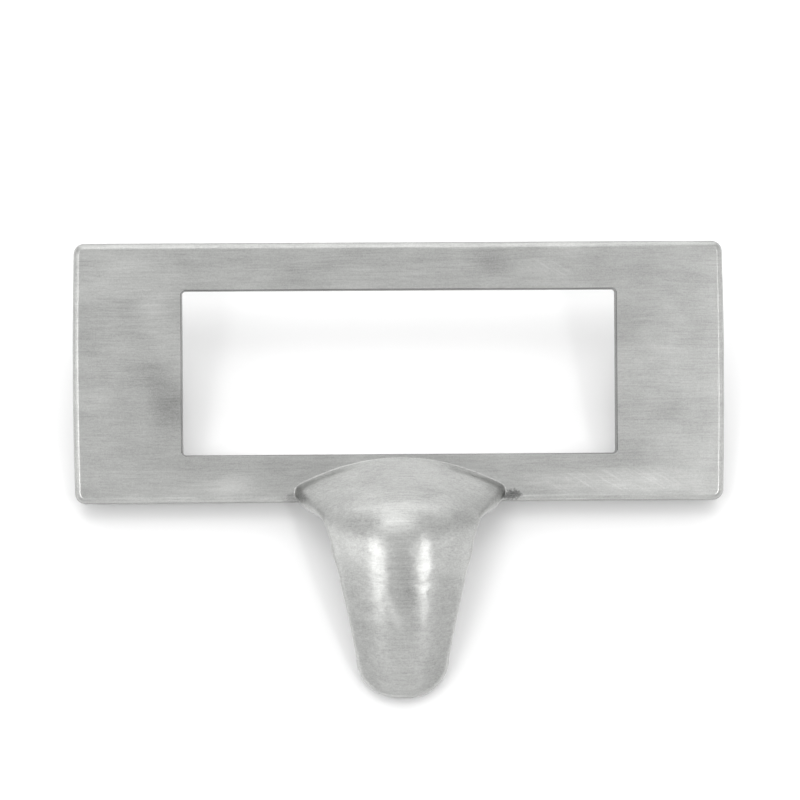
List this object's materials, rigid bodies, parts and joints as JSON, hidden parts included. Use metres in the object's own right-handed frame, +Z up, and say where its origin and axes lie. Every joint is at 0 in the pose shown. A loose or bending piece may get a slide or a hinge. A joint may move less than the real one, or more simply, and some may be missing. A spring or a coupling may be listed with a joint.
{
  "type": "label holder bin pull",
  "caption": "Cast metal label frame with a window for a card, a pocket behind it, a hooked finger pull below and tapped posts on the back.",
  "frame": {"origin": "midway between the two tapped posts, on the back face that lies against the drawer front", "axes": "+X along the frame, to the right as seen from the front; -Y out of the front; +Z up, away from the pull"},
  "size_m": [0.0912, 0.0191, 0.0628],
  "materials": {
    "label_pull": "satin, brushed along the frame and across the pull"
  },
  "bodies": {
    "root": {"label_pull": "label_pull"}
  },
  "joints": []
}
